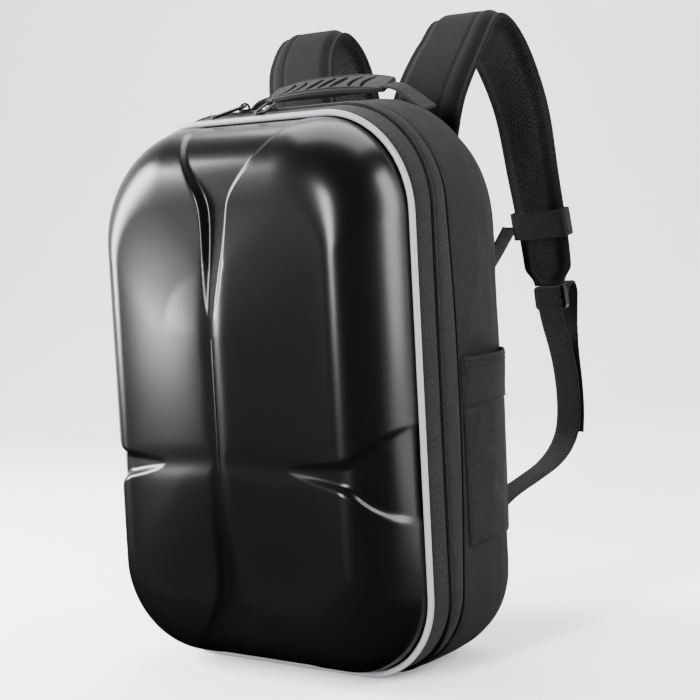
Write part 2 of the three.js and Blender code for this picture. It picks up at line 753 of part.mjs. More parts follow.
for (const side of [-1, 1]) {
  const hand = side < 0 ? "left" : "right";
  addPiece(`side_pocket_${hand}`, pocketGeometry(side), BODY_BLACK);
  addPiece(
    `shoulder_strap_${hand}`,
    ribbonGeometry(strapCurve(side), STRAP_STEPS, strapWidth, STRAP_THICKNESS, alongX),
    MESH_BLACK,
  );
  addPiece(`lower_webbing_${hand}`, webGeometry(side, WEB_ROUTE, WEB_STEPS), WEB_BLACK);
  addPiece(`webbing_tail_${hand}`, webGeometry(side, TAIL_ROUTE, TAIL_STEPS), WEB_BLACK);
  lockMesh(side);
  chestLoopMesh(side);
  addPiece(`chest_webbing_${hand}`, chestWebGeometry(side), WEB_BLACK);
  addPiece(`handle_webbing_${hand}`, handleWebGeometry(side), WEB_BLACK);
}

export default bag;
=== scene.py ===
"""Hard shell backpack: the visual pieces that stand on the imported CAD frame.

Lengths are in metres and Z is up. The drawing frame has y = 0 in the piping's plane, and the row
frame, in which every piece is made, has y moved forward by BASE_POINT.
"""
import math

import bpy
import numpy as np
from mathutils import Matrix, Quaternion, Vector


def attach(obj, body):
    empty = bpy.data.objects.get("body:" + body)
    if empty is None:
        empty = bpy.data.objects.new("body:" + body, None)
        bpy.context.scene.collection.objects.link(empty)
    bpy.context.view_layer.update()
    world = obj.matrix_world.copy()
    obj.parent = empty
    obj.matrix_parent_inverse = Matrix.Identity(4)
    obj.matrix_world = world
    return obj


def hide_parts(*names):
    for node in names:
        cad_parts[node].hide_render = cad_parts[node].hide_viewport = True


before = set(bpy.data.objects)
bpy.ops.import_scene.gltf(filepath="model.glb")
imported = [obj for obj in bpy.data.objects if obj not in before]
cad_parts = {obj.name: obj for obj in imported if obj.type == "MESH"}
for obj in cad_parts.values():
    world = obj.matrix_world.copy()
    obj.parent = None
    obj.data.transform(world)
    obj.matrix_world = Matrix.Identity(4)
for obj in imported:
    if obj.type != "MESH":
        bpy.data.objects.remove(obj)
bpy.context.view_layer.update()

MM = 0.001
BASE_POINT = 60.0
TAU = 2 * math.pi

# The camera, fitted to the photograph: azimuth and elevation in degrees, and its turn about its axis.
AZIMUTH, ELEVATION, ROLL = 37.7, 4.8, -3.0
TARGET = (81.8, -BASE_POINT, 267.8)
DISTANCE = 1380.0
FOCAL, FRAME_PIXELS, SENSOR = 1729.0, 700.0, 36.0

# The same named sizes as the part's source, in mm.
HALF_WIDTH, LOOP_TOP, LOOP_BOTTOM, TOP_CORNER, BOTTOM_CORNER = 149.0, 457.0, 4.0, 82.0, 68.0
PIPING_RADIUS = 2.6
SHELL_SEAT, SHELL_EDGE_DEPTH, SHELL_CROWN = 2.9, 64.0, 10.0
SHELL_SIDE_ROUND, SHELL_END_ROUND, SHELL_CORNER_LOSS = 38.0, 64.0, 30.0
WAIST_HEIGHT, WAIST_LEAN = 173.0, 9.0
# Columns: half width at rim, half width at bend, bend from rim, apex from rim, depth, depth at rim.
END_GROOVE = (60.0, 12.0, 64.0, 222.0, 7.5, 0.8)
SIDE_GROOVE = (40.0, 10.0, 28.0, 112.0, 6.5, 1.2)
GROOVE_SLOPE = 7.5
BEND_BLEND = 3.0
SPINE_DEPTH, SPINE_WIDTH, BELT_DEPTH, BELT_WIDTH = 1.6, 8.0, 0.9, 10.0
EDGE_ROWS, FACE_ROWS = 44, 76
COIL_LINE, COIL_RADIUS, COIL_GAP = 25.5, 1.9, 1.6
COIL_TICKS, COIL_ENDS = 760, (0.035, 0.965)
TAPE_RISE, TAPE_SPREAD = 7.0, 2.0
SEAM_ENDS, SEAM_BOW = 36.0, 12.0
BODY_DEPTH, BODY_BULGE, BODY_RISE = 134.0, 6.0, 13.0
# Columns: share of depth, share of bulge, share of rise, rear rounding inward, corner growth.
BODY_SECTIONS = np.array([
    (0.45, 0.75, 0.75, 0, 6), (0.58, 1, 1, 0, 12), (0.72, 0.8, 0.9, 0, 16),
    (0.84, 0.5, 0.6, 2, 18), (0.94, 0, 0, 8, 16), (1, 0, 0, 23, 8),
])
SEAM_SECTION = (0.6, 0.65, 0, 3)
SEAM_AT, SEAM_POINTS = 47.5, 500
BODY_START, THREAD_SETBACK, STITCH_PITCH = 1.6, 4.6, 3.2
STRAP_THICKNESS = 11.0
STRAP_ROOT_LEVEL = 400.0
# Points of a strap's section on each face and on each edge, and its rows. Its tip tapers.
STRAP_FACE, STRAP_EDGE, STRAP_ROWS, STRAP_TIP, STRAP_TAPER = 43, 5, 220, 0.045, 0.34
# Columns: x, distance behind the back, height above the root, width.
STRAP_ROUTE = np.array([
    (58, 5.9, 0, 76), (63, 6.4, 38, 75), (71, 13, 76, 73), (83, 30, 115, 71), (85, 56, 139, 68),
    (87, 92, 119, 63), (91, 123, 65, 57), (94, 136, 0, 53), (97, 146, -60, 50), (99, 149, -100, 47),
], float)
WEB_WIDTH, WEB_THICKNESS, WEB_ROWS, TAIL_ROWS = 25.0, 1.8, 200, 120
WEB_ROUTE = np.array([
    (99.3, 143.9, -102), (99.8, 144.6, -112), (100.4, 145.6, -122), (101.5, 149.5, -138),
    (103, 156, -158), (104.3, 161, -180), (105, 163.5, -208), (105, 160, -233), (105, 146, -250),
    (105, 122, -262), (105, 88, -270), (105, 46, -279), (105, 18, -291), (105, 5, -306),
    (105, 1.8, -322),
], float)
TAIL_ROUTE = np.array([
    (100.5, 155.2, -114), (100.5, 162, -101), (101, 169, -98), (101.5, 173, -107), (102, 171, -122),
    (103, 168, -140), (104, 167, -162), (105, 169, -190), (105.5, 169.5, -214), (105.5, 167, -238),
], float)
LOCK = {"plate": (33, 22, 4), "slot": (26, 4, 1.2), "bar": 4.0, "depth": 6.4, "ahead": 11.3}
CHEST = {"at": 8 / 9 - 0.02, "start": 24.0, "level": 30.0, "sag": 52.0, "forward": 16.0, "curve": 1.25}
CHEST_ROWS = 60
POCKET = {"front": 53.0, "back": 112.0, "low": 104.0, "high": 257.0, "bulge": 10.0, "hem": 40.0}
PULLS = {"left": (-36.0, -24.0), "right": (-7.0, 19.0)}
PULL_LENGTH, PULL_WIDTH, PULL_WIRE, PULL_DROOP, PULL_RIDE = 34.5, 10.5, 2.4, 17.0, 4.35
PAD_SHAPE, PAD_CHANNELS = (104.0, 388.0, 118.0, 36.0, 36.0), (190.0, 253.0, 316.0)
BUCKLE_PLATE, BUCKLE_WINDOW, BUCKLE_DEPTH = (46, 30, 6), (9, 15, 2), 10.4
GRIP_SET, GRIP_TILT, GRIP_ARCH, GRIP_HALF = (95.0, 484.5), 28.0, 5.0, 64.0
GRIP_DEPTH, GRIP_BREADTH, SLOT_PITCH, SLOT_HALF = 4.6, 14.5, 13, 9.0
CRESCENTS = (27.5, 40.5)
HANDLE_FOOT, HANDLE_ROWS = (101.0, 99.0), 60


# Geometry

def smooth(t):
    """The smooth step 3t^2 - 2t^3 of t held between 0 and 1."""
    t = np.clip(t, 0.0, 1.0)
    return t * t * (3 - 2 * t)


def spline(points, count):
    """count points at equal arc length on a Catmull-Rom curve through the rows of points."""
    p = np.vstack([2 * points[0] - points[1], points, 2 * points[-1] - points[-2]])
    t = np.linspace(0, len(points) - 1 - 1e-9, 40 * len(points))
    i = t.astype(int)
    f = (t - i)[:, None]
    a, b, c, d = p[i], p[i + 1], p[i + 2], p[i + 3]
    q = 0.5 * (2 * b + (c - a) * f + (2 * a - 5 * b + 4 * c - d) * f**2 + (3 * b - a - 3 * c + d) * f**3)
    run = np.concatenate([[0], np.cumsum(np.linalg.norm(np.diff(q[:, :3], axis=0), axis=1))])
    at = np.linspace(0, run[-1], count)
    return np.stack([np.interp(at, run, q[:, k]) for k in range(q.shape[1])], axis=1)


def placed(name, data):
    """A new object of data, linked to the scene."""
    obj = bpy.data.objects.new(name, data)
    bpy.context.scene.collection.objects.link(obj)
    return obj


def mesh_piece(name, grid, around=True, ring=False, ends=False, materials=(), faces_in=None, body="root"):
    """A smooth mesh from a grid of rows of points in the drawing frame, in mm.

    around joins each row's last point to its first, ring joins the last row to the first, and ends
    fills the first and last rows. The UVs are arc lengths in metres along the row and across rows.
    faces_in gives each column its material.
    """
    rows, cols, _ = grid.shape
    r = np.arange(rows if ring else rows - 1)[:, None]
    c = np.arange(cols if around else cols - 1)[None, :]
    r1, c1 = (r + 1) % rows, (c + 1) % cols
    quads = np.stack([r * cols + c, r * cols + c1, r1 * cols + c1, r1 * cols + c], axis=-1).reshape(-1, 4)
    wrap_c = np.concatenate([grid, grid[:, :1]], axis=1)
    wrap_r = np.concatenate([grid, grid[:1]], axis=0)
    along = np.linalg.norm(np.diff(wrap_c, axis=1), axis=2).mean(axis=0)
    across = np.linalg.norm(np.diff(wrap_r, axis=0), axis=2).mean(axis=1)
    u = np.concatenate([[0], np.cumsum(along)]) * MM
    v = np.concatenate([[0], np.cumsum(across)]) * MM
    cc, rr = np.broadcast_to(c, (r.size, c.size)), np.broadcast_to(r, (r.size, c.size))
    uv = np.stack([
        np.stack([u[cc], v[rr]], -1), np.stack([u[cc + 1], v[rr]], -1),
        np.stack([u[cc + 1], v[rr + 1]], -1), np.stack([u[cc], v[rr + 1]], -1),
    ], axis=2).reshape(-1, 2)
    points = grid.reshape(-1, 3)
    p = points[quads]
    volume = np.einsum("ij,ij->i", p[:, 0], np.cross(p[:, 1], p[:, 2]) + np.cross(p[:, 2], p[:, 3])).sum()
    faces = quads
    if volume < 0:
        faces = quads[:, ::-1]
        uv = uv.reshape(-1, 4, 2)[:, ::-1].reshape(-1, 2)
    loops = faces.tolist()
    if ends and around:
        first, last = list(range(cols)), list(range((rows - 1) * cols, rows * cols))
        flip = volume < 0
        loops.append(first if flip else first[::-1])
        loops.append(last[::-1] if flip else last)
        uv = np.concatenate([uv, np.zeros((2 * cols, 2))])
    world = (points - (0, BASE_POINT, 0)) * MM
    mesh = bpy.data.meshes.new(name)
    mesh.from_pydata(world.tolist(), [], loops)
    layer = mesh.uv_layers.new(name="UVMap")
    layer.data.foreach_set("uv", uv.astype(np.float32).ravel())
    mesh.polygons.foreach_set("use_smooth", [True] * len(loops))
    for m in materials:
        mesh.materials.append(m)
    if faces_in is not None:
        index = np.broadcast_to(np.asarray(faces_in)[None, : c.size], (r.size, c.size)).ravel().tolist()
        mesh.polygons.foreach_set("material_index", index + [0] * (len(loops) - len(index)))
    mesh.update()
    obj = placed(name, mesh)
    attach(obj, body)
    return obj


COUNTS = {"bottom": 44, "corner": 44, "side": 136, "top": 54}


def outline(half_width, top, bottom, top_corner, bottom_corner):
    """A closed rounded outline as (x, z) rows, starting at the bottom's middle, symmetric in x."""
    flat = np.linspace(0, 1, COUNTS["bottom"], endpoint=False)
    turn = np.linspace(0, math.pi / 2, COUNTS["corner"], endpoint=False)
    side = np.linspace(0, 1, COUNTS["side"], endpoint=False)
    lid = np.linspace(1, 0, COUNTS["top"])
    low, high = bottom + bottom_corner, top - top_corner
    inner_low, inner_high = half_width - bottom_corner, half_width - top_corner
    half = np.concatenate([
        np.stack([flat * inner_low, np.full_like(flat, bottom)], 1),
        np.stack([inner_low + bottom_corner * np.sin(turn), low - bottom_corner * np.cos(turn)], 1),
        np.stack([np.full_like(side, half_width), low + side * (high - low)], 1),
        np.stack([inner_high + top_corner * np.cos(turn), high + top_corner * np.sin(turn)], 1),
        np.stack([lid * inner_high, np.full_like(lid, top)], 1),
    ])
    return np.concatenate([half, half[-2:0:-1] * (-1, 1)])


def loop_shape(grow=0.0, y=0.0):
    """The gusset's outline at y behind the piping, grown outward by grow."""
    share = y / COIL_LINE
    return (
        HALF_WIDTH + TAPE_SPREAD * share + grow,
        LOOP_TOP + TAPE_RISE * share + grow,
        LOOP_BOTTOM - 3 * min(1, share) - grow,
        TOP_CORNER + TAPE_SPREAD * share + grow,
        BOTTOM_CORNER + share + grow,
    )


def inset(shape, side, end, loss):
    """An outline's five sizes moved inward by side and end, its corners smaller by loss."""
    half_width, top, bottom, top_corner, bottom_corner = shape
    half_width = max(half_width - side, 0.4)
    limit = 0.92 * half_width
    return (
        half_width, top - end, bottom + end,
        min(top_corner - loss, limit), min(bottom_corner - loss, limit),
    )


def fair(t):
    """The smoother step 6t^5 - 15t^4 + 10t^3 of t held between 0 and 1, for surfaces that show gloss."""
    t = np.clip(t, 0.0, 1.0)
    return t * t * t * (t * (6 * t - 15) + 10)


def groove(sizes, along, across):
    """Depth of a tapered groove at a distance from its rim and to the side of its middle line.

    Its half width is a soft maximum of a steep line near the rim and a shallow one to its apex.
    """
    rim, bend, bend_at, apex_at, depth, rim_depth = sizes
    steep = rim + (bend - rim) * along / bend_at
    shallow = bend * (apex_at - along) / (apex_at - bend_at)
    half = BEND_BLEND * np.logaddexp(steep / BEND_BLEND, shallow / BEND_BLEND)
    before = rim_depth + (depth - rim_depth) * fair(along / bend_at)
    deep = before * (1 - fair((along - 0.5 * bend_at) / (apex_at - 0.5 * bend_at)))
    return deep * (1 - fair((np.abs(across) - half + GROOVE_SLOPE / 2) / GROOVE_SLOPE))


def relief(x, z):
    """Depth of the end grooves and of the side grooves at a point of the shell's front."""
    top = groove(END_GROOVE, LOOP_TOP - z, x)
    low = groove(END_GROOVE, z - LOOP_BOTTOM, x + 4)
    line = SPINE_DEPTH * np.exp(-((x / SPINE_WIDTH) ** 2)) * fair((z - 60) / 80) * fair((400 - z) / 80)
    along = HALF_WIDTH - np.abs(x)
    waist = z - WAIST_HEIGHT - WAIST_LEAN * along / SIDE_GROOVE[3]
    sides = groove(SIDE_GROOVE, along, waist)
    belt = BELT_DEPTH * np.exp(-((waist / BELT_WIDTH) ** 2)) * fair((along - 20) / 60)
    return np.maximum(top, low), sides, np.maximum(line, belt)


def shell_ring(step):
    """One row of the shell: step is 0 at its rim, 1 where the face begins and 2 at the middle."""
    rim = inset(loop_shape(), SHELL_SEAT, SHELL_SEAT, 1)
    edge, face = min(step, 1.0), max(step - 1.0, 0.0)
    run = (HALF_WIDTH - SHELL_SIDE_ROUND) * face
    shape = inset(
        rim, SHELL_SIDE_ROUND * edge + run, SHELL_END_ROUND * edge + run, SHELL_CORNER_LOSS * edge
    )
    depth = SHELL_EDGE_DEPTH * math.sqrt(1 - (1 - edge) ** 2) + SHELL_CROWN * smooth(face)
    sideways = 1 - fair(edge)
    xz = outline(*shape)
    x, z = xz[:, 0], xz[:, 1]
    ends, sides, line = relief(x, z)
    middle = (LOOP_TOP + LOOP_BOTTOM) / 2
    return np.stack([
        x - np.sign(x) * sides * sideways,
        -depth + np.maximum(np.maximum(ends, sides), line) * fair(edge),
        z - np.sign(z - middle) * ends * sideways,
    ], axis=1)


def flat_ring(shape, y):
    """The outline of shape at depth y, as rows of points."""
    xz = outline(*shape)
    return np.stack([xz[:, 0], np.broadcast_to(y, len(xz)), xz[:, 1]], axis=1)


def seam_depth(z):
    """Where the seam between tape and body lies: SEAM_ENDS at top and bottom, bowed back between."""
    return SEAM_ENDS + SEAM_BOW * np.sin(math.pi * np.clip(z / LOOP_TOP, 0, 1))


def tube(path, radius, sides=12, ring=True, ridges=None):
    """Rows of a round section along a path in a plane of constant y; ridges scales each row's radius."""
    ahead = np.roll(path, -1, 0) - np.roll(path, 1, 0)
    if not ring:
        ahead[0], ahead[-1] = path[1] - path[0], path[-1] - path[-2]
    tangent = ahead / np.linalg.norm(ahead, axis=1)[:, None]
    back = np.array([0.0, 1.0, 0.0])
    out = np.cross(tangent, back)
    turn = np.arange(sides) / sides * TAU
    size = np.full(len(path), radius) if ridges is None else radius * ridges
    ring_out = out[:, None] * np.cos(turn)[None, :, None] + back * np.sin(turn)[None, :, None]
    return path[:, None] + ring_out * size[:, None, None]


def even_loop(shape, y, count, start=0.0, stop=1.0):
    """count points at equal arc length along a closed outline at depth y, between two shares of it."""
    ring = flat_ring(shape, y)
    closed = np.vstack([ring, ring[:1]])
    run = np.concatenate([[0], np.cumsum(np.linalg.norm(np.diff(closed, axis=0), axis=1))])
    at = np.linspace(start * run[-1], stop * run[-1], count, endpoint=stop < 1)
    return np.stack([np.interp(at, run, closed[:, k]) for k in range(3)], axis=1)


def wobble(p, scale, seed):
    """Smooth made-up unevenness between -1 and 1: a sum of sines of the place p at one scale in mm."""
    rng = np.random.default_rng(seed)
    total = 0
    for _ in range(5):
        direction = rng.normal(size=3)
        direction /= np.linalg.norm(direction)
        wave = TAU / (scale * rng.uniform(0.7, 1.6))
        total = total + np.sin(p @ direction * wave + rng.uniform(0, TAU))
    return total / 5


def body_shape(bulge, rise, inward, corner):
    """The body's outline: the loop's, widened by bulge and raised by rise, then drawn inward."""
    return (
        HALF_WIDTH + BODY_BULGE * bulge - inward + 0.5, LOOP_TOP + BODY_RISE * rise - inward, inward,
        TOP_CORNER + corner, BOTTOM_CORNER + corner / 2,
    )


def body_side(y):
    """Half width of the body at depth y on its straight sides."""
    depths = np.concatenate([[SEAM_AT], BODY_SECTIONS[:, 0] * BODY_DEPTH])
    widths = [body_shape(*SEAM_SECTION)[0]] + [body_shape(*s[1:])[0] for s in BODY_SECTIONS]
    return np.interp(y, depths, widths)


def sweep(route, width, section, across, name, **options):
    """A ribbon along route, its section turned so that its width follows across.

    section gives the rows (across, up) in mm for a half width and a share of the length.
    """
    n = len(route)
    tangent = np.gradient(route[:, :3], axis=0)
    tangent /= np.linalg.norm(tangent, axis=1)[:, None]
    wide = across - (tangent @ across)[:, None] * tangent
    wide /= np.linalg.norm(wide, axis=1)[:, None]
    up = np.cross(tangent, wide)
    rows = []
    for k in range(n):
        s = section(width[k] / 2, k / (n - 1))
        rows.append(route[k, :3] + s[:, :1] * wide[k] + s[:, 1:] * up[k])
    return mesh_piece(name, np.array(rows), ends=True, **options)


def web_section(w, _share=0, thickness=WEB_THICKNESS):
    """A flat webbing's section: a thin rectangle with round edges."""
    h = thickness / 2
    turn = np.linspace(-math.pi / 2, math.pi / 2, 5)
    right = np.stack([w - h + h * np.cos(turn), h * np.sin(turn)], 1)
    top = np.stack([np.linspace(w - h, -w + h, 12)[1:-1], np.full(10, h)], 1)
    return np.concatenate([right, top, -right, -top])


def strap_section(w, share):
    """A padded strap: bound flat edges, foam rising between them, and a sewn line on the outer face."""
    x = np.linspace(-w, w, STRAP_FACE + 2)[1:-1]
    rise = smooth((w - np.abs(x) - 4.5) / 9)
    foam = 2.0 + (STRAP_THICKNESS / 2 - 2.0) * rise * smooth(np.minimum(share, 1 - share) / 0.03 + 0.35)
    sewn = 0.9 * np.exp(-(((np.abs(x) - (w - 5.2)) / 1.1) ** 2))
    sewn = sewn + 1.3 * np.exp(-(((x - 0.45 * w) / 1.3) ** 2))
    outer = foam - sewn * (foam > 1.9)
    turn = np.linspace(-math.pi / 2, math.pi / 2, STRAP_EDGE + 2)[1:-1]
    right = np.stack([w - 0.4 + 1.6 * np.cos(turn) - 1.2, 2.0 * np.sin(turn)], 1)
    return np.concatenate([right, np.stack([x, outer], 1)[::-1], -right, np.stack([x, -foam], 1)])


def on_back(points, side):
    """Points given from the back panel at the strap roots, mirrored for the left side."""
    moved = points.copy()
    moved[:, 0] *= side
    moved[:, 1] += BODY_DEPTH
    moved[:, 2] += STRAP_ROOT_LEVEL
    return moved


# A stitch's ends and shoulders: columns are the share of its length and of its radius.
POD_SIDES = 6
POD_RINGS = [(-0.5, 0.25), (-0.3, 1.0), (0.3, 1.0), (0.5, 0.25)]


def stitches(name, points, out, material, length=2.2, radius=0.32):
    """Sewn thread along points: a row of small closed pods, each a stretched octahedron with rings."""
    points = spline(points, max(4, int(path_length(points) / STITCH_PITCH)))
    ahead = np.gradient(points, axis=0)
    ahead /= np.linalg.norm(ahead, axis=1)[:, None]
    out = np.broadcast_to(out, points.shape)
    out = out - (out * ahead).sum(1)[:, None] * ahead
    out /= np.linalg.norm(out, axis=1)[:, None]
    wide = np.cross(ahead, out)
    turn = np.arange(POD_SIDES) / POD_SIDES * TAU
    rings = np.array(POD_RINGS)
    circle = np.cos(turn)[None, :, None] * wide[:, None] + np.sin(turn)[None, :, None] * out[:, None]
    pods = (
        points[:, None, None] + rings[None, :, None, :1] * length * ahead[:, None, None]
        + circle[:, None] * rings[None, :, None, 1:] * radius
    )
    n = len(points)
    verts = (pods.reshape(-1, 3) - (0, BASE_POINT, 0)) * MM
    m, size = POD_SIDES, POD_SIDES * len(POD_RINGS)
    one = [[m * r + k, m * r + (k + 1) % m, m * (r + 1) + (k + 1) % m, m * (r + 1) + k]
           for r in range(len(POD_RINGS) - 1) for k in range(m)]
    starts = size * np.arange(n)[:, None, None]
    faces = (np.array(one)[None] + starts).reshape(-1, 4).tolist()
    caps = np.array([np.arange(m)[::-1], np.arange(size - m, size)])
    faces += (caps[None] + starts).reshape(-1, m).tolist()
    mesh = bpy.data.meshes.new(name)
    mesh.from_pydata(verts.tolist(), [], faces)
    mesh.polygons.foreach_set("use_smooth", [True] * len(faces))
    mesh.materials.append(material)
    obj = placed(name, mesh)
    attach(obj, "root")
    return obj


def path_length(points):
    """The sum of the distances between neighbouring rows."""
    return float(np.linalg.norm(np.diff(points, axis=0), axis=1).sum())


# Materials

def material(name, colour, roughness, **sockets):
    """A new material with its node tree and its shader, whose other sockets are set by name."""
    mat = bpy.data.materials.new(name)
    mat.use_nodes = True
    tree = mat.node_tree
    shader = tree.nodes["Principled BSDF"]
    shader.inputs["Base Color"].default_value = (*colour, 1)
    shader.inputs["Roughness"].default_value = roughness
    for key, value in sockets.items():
        shader.inputs[key.replace("_", " ")].default_value = value
    return mat, tree, shader


def add(tree, kind, **values):
    """A new node, its sockets or else its properties set from values."""
    node = tree.nodes.new(kind)
    for key, value in values.items():
        if key in node.inputs:
            node.inputs[key].default_value = value
        else:
            setattr(node, key, value)
    return node


def math_node(tree, operation, a, b=None):
    """The output of a math node whose inputs are numbers or other outputs."""
    node = tree.nodes.new("ShaderNodeMath")
    node.operation = operation
    for k, value in enumerate((a, b)):
        if value is None:
            continue
        if isinstance(value, (int, float)):
            node.inputs[k].default_value = value
        else:
            tree.links.new(value, node.inputs[k])
    return node.outputs[0]


def colour_by(tree, shader, factor, low, high):
    """Colours the surface from low to high by factor."""
    mix = add(tree, "ShaderNodeMix", data_type="RGBA")
    mix.inputs[6].default_value = (*low, 1)
    mix.inputs[7].default_value = (*high, 1)
    tree.links.new(factor, mix.inputs[0])
    tree.links.new(mix.outputs[2], shader.inputs["Base Color"])


def bump(tree, shader, height, depth, strength=1.0):
    """Tilts the surface's normal as a height of up to depth metres would."""
    node = add(tree, "ShaderNodeBump", Strength=strength, Distance=depth)
    tree.links.new(height, node.inputs["Height"])
    tree.links.new(node.outputs["Normal"], shader.inputs["Normal"])


def noise(tree, source, scale, detail=3.0):
    """A noise of scale cells a metre at source."""
    node = add(tree, "ShaderNodeTexNoise", Scale=scale, Detail=detail)
    tree.links.new(source, node.inputs["Vector"])
    return node.outputs["Fac"]


# The scales, in cells a metre, of a cloth's fuzz, its flecks and its broad unevenness.
FUZZ, FLECK, BROAD = 2600.0, 800.0, 38.0


def cloth(name, low, high, pitch, kind, depth=0.00018, roughness=0.85, sheen=0.04):
    """A cloth whose threads follow the UVs, in metres: sines of both, joined as kind says.

    kind is weave, herringbone, rib or mesh, and the mean of threads and noise picks the tone: raised threads
    come out lighter and the dips between them darker, as painted shade.
    """
    mat, tree, shader = material(name, high, roughness, Sheen_Weight=sheen, Specular_IOR_Level=0.14)
    coord = add(tree, "ShaderNodeTexCoord")
    split = add(tree, "ShaderNodeSeparateXYZ")
    tree.links.new(coord.outputs["UV"], split.inputs[0])
    u = math_node(tree, "MULTIPLY", split.outputs[0], TAU / pitch)
    v = math_node(tree, "MULTIPLY", split.outputs[1], TAU / pitch)
    if kind == "weave":
        warp = math_node(tree, "ABSOLUTE", math_node(tree, "SINE", math_node(tree, "MULTIPLY", u, 0.5)))
        weft = math_node(tree, "ABSOLUTE", math_node(tree, "SINE", math_node(tree, "MULTIPLY", v, 0.5)))
        over = math_node(tree, "SINE", math_node(tree, "MULTIPLY", u, 0.5))
        under = math_node(tree, "SINE", math_node(tree, "MULTIPLY", v, 0.5))
        sign = math_node(tree, "GREATER_THAN", math_node(tree, "MULTIPLY", over, under), 0)
        top = math_node(tree, "MULTIPLY", warp, sign)
        side = math_node(tree, "MULTIPLY", weft, math_node(tree, "SUBTRACT", 1, sign))
        height = math_node(tree, "ADD", top, side)
    elif kind == "herringbone":
        fold = math_node(tree, "PINGPONG", math_node(tree, "MULTIPLY", u, 0.25), 3.0)
        leaning = math_node(tree, "MULTIPLY", fold, 2.0)
        height = math_node(tree, "SINE", math_node(tree, "ADD", v, leaning))
    elif kind == "rib":
        lean = math_node(tree, "MULTIPLY", math_node(tree, "SINE", math_node(tree, "MULTIPLY", u, 0.5)), 1.2)
        height = math_node(tree, "SINE", math_node(tree, "ADD", v, lean))
    else:
        first = math_node(tree, "SINE", math_node(tree, "ADD", u, v))
        second = math_node(tree, "SINE", math_node(tree, "SUBTRACT", u, v))
        height = math_node(tree, "MAXIMUM", first, second)
    fuzz = noise(tree, coord.outputs["Object"], FUZZ, 2.0)
    mixed = math_node(tree, "ADD", height, math_node(tree, "MULTIPLY", fuzz, 0.7))
    bump(tree, shader, mixed, depth)
    broad = noise(tree, coord.outputs["Object"], BROAD, 4.0)
    fleck = math_node(tree, "MULTIPLY", noise(tree, coord.outputs["Object"], FLECK, 2.0), 3.0)
    # Painted shade: the weave's height also darkens the colour in the dips between threads, where shade
    # would fall; the noise adds random tone.
    thread_shade = math_node(tree, "MULTIPLY", height, 0.2)
    tone_and_shade = math_node(tree, "ADD", thread_shade, math_node(tree, "MULTIPLY", broad, 0.4))
    tone_and_shade = math_node(tree, "SUBTRACT", math_node(tree, "ADD", tone_and_shade, fleck), 1.25)
    colour_by(tree, shader, tone_and_shade, low, high)
    return mat


def moulded(name, colour, roughness, grain, depth, **sockets):
    """Moulded plastic or rubber: a fine grain, and a roughness that drifts a little over the surface."""
    mat, tree, shader = material(name, colour, roughness, **sockets)
    coord = add(tree, "ShaderNodeTexCoord")
    bump(tree, shader, noise(tree, coord.outputs["Object"], grain, 2.0), depth, 0.5)
    drift = noise(tree, coord.outputs["Object"], 14.0, 5.0)
    spread = math_node(tree, "MULTIPLY_ADD", drift, 0.04)
    spread.node.inputs[2].default_value = roughness - 0.02
    tree.links.new(spread, shader.inputs["Roughness"])
    return mat


SHELL = moulded("shell_gloss", (0.0015, 0.0015, 0.0018), 0.25, 1300.0, 0.00005, Specular_IOR_Level=0.2)
PIPING = moulded("piping_grey", (0.2, 0.2, 0.215), 0.36, 1500.0, 0.00002)
BODY = cloth("body_weave", (0.0008, 0.0008, 0.001), (0.0095, 0.0095, 0.0106), 0.0009, "weave", sheen=0.01)
TAPE = cloth("tape_herringbone", (0.001, 0.001, 0.0012), (0.0125, 0.0125, 0.0145), 0.0016, "herringbone")
COIL = moulded("coil_nylon", (0.002, 0.002, 0.0024), 0.45, 2000.0, 0.00002, Specular_IOR_Level=0.14)
STRAP = cloth("strap_weave", (0.0003, 0.0003, 0.0004), (0.0035, 0.0035, 0.004), 0.0009, "weave", sheen=0.0)
MESH = cloth(
    "air_mesh", (0.0005, 0.0005, 0.0006), (0.0055, 0.0055, 0.006), 0.0038, "mesh", 0.0009, 0.9, 0.02
)
WEBBING = cloth("webbing_rib", (0.001, 0.001, 0.0012), (0.006, 0.006, 0.007), 0.0021, "rib", 0.0003)
THREAD = moulded("thread", (0.004, 0.004, 0.005), 0.6, 2500.0, 0.00002, Specular_IOR_Level=0.15)
GRIP = moulded("grip_rubber", (0.008, 0.008, 0.0095), 0.6, 2200.0, 0.00004, Specular_IOR_Level=0.1)
HARDWARE = moulded("hardware_black", (0.003, 0.003, 0.0035), 0.42, 1800.0, 0.00003, Specular_IOR_Level=0.2)
ENAMEL = moulded("zip_enamel", (0.001, 0.001, 0.0012), 0.3, 1200.0, 0.00001, Specular_IOR_Level=0.12)


# The shell, the piping and the zip

edge_steps = 1 - np.cos(np.linspace(0, math.pi / 2, EDGE_ROWS))
edge_steps = np.concatenate([edge_steps[:-1], 1 + np.linspace(0, 1, FACE_ROWS)])
lip = inset(loop_shape(), SHELL_SEAT + 2.2, SHELL_SEAT + 2.2, 3)
seat = inset(loop_shape(), SHELL_SEAT, SHELL_SEAT, 1)
rows = [flat_ring(lip, -1.0), flat_ring(lip, 1.2), flat_ring(seat, 1.4)]
rows += [shell_ring(s) for s in edge_steps]
shell = mesh_piece("shell_face", np.array(rows), materials=[SHELL])
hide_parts("hard_shell")

bead = mesh_piece(
    "piping_bead", tube(even_loop(loop_shape(), 0.0, 700), PIPING_RADIUS, 14), ring=True, materials=[PIPING]
)
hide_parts("piping")

# Four points to each tooth, whose radius swings about its middle. The coil lies flat on the floor.
span = even_loop(loop_shape(0, COIL_LINE), COIL_LINE, COIL_TICKS * 4, *COIL_ENDS)
tick = 0.86 + 0.2 * np.sin(np.arange(len(span)) * TAU / 4)
coil_rows = tube(span, COIL_RADIUS, 8, False, tick)
coil_rows[..., 2] = np.maximum(coil_rows[..., 2], 0.2)
coil = mesh_piece("zip_coil_teeth", coil_rows, ends=True, materials=[COIL])
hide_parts("zip_coil")


